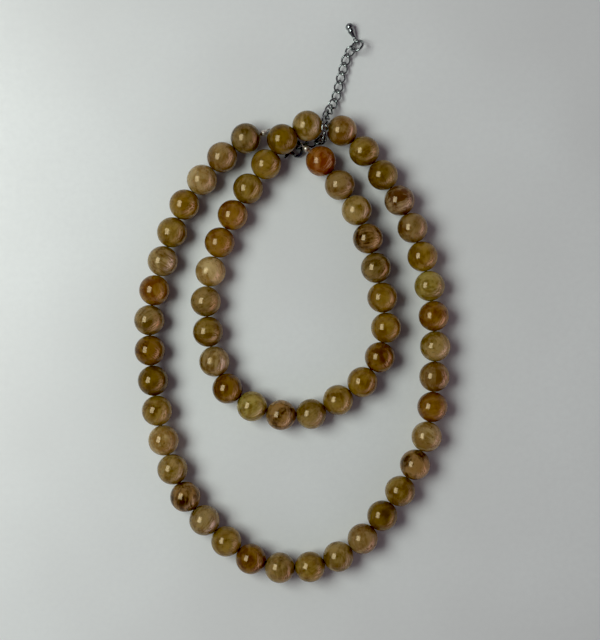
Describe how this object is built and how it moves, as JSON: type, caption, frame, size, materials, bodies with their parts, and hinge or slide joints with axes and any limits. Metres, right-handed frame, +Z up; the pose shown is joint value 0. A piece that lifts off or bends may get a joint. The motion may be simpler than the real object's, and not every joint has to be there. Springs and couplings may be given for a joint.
{
  "type": "beaded necklace",
  "caption": "Long necklace of round polished stone beads, laid flat as two turns, with a lobster clasp, an extension chain and a small metal drop.",
  "frame": {"origin": "on the surface that the necklace lies on, under the middle of its outline", "axes": "+Y from the bottom of the two turns towards the extension chain's free end, +X to the right in the picture, +Z up from the surface"},
  "size_m": [0.1042, 0.1852, 0.0135],
  "materials": {
    "moonstone": "polished and glossy, with silky bands and warm brown, peach, honey and grey stones mixed",
    "steel": "polished silver-toned steel"
  },
  "bodies": {
    "necklace": {"inner_bead_strand": "moonstone", "outer_bead_strand": "moonstone", "inner_bead_tip": "steel", "outer_bead_tip": "steel", "clasp_ring": "steel", "clasp_body": "steel", "end_ring": "steel", "chain_link_01": "steel", "chain_link_02": "steel", "chain_link_03": "steel", "chain_link_04": "steel", "chain_link_05": "steel", "chain_link_06": "steel", "chain_link_07": "steel", "chain_link_08": "steel", "chain_link_09": "steel", "chain_link_10": "steel", "chain_link_11": "steel", "chain_link_12": "steel", "chain_link_13": "steel", "chain_link_14": "steel", "chain_link_15": "steel", "drop_ring": "steel", "drop": "steel"},
    "lever": {"clasp_lever": "steel"}
  },
  "joints": [
    {"name": "clasp_lever_hinge", "type": "hinge", "parent": "necklace", "child": "lever", "pos_m": [-0.00283, 0.05165, 0.0015], "axis": [0, 0, 1], "range_deg": [0, 12], "stiffness_Nm_per_rad": 0.02, "springref_deg": -11.46}
  ]
}
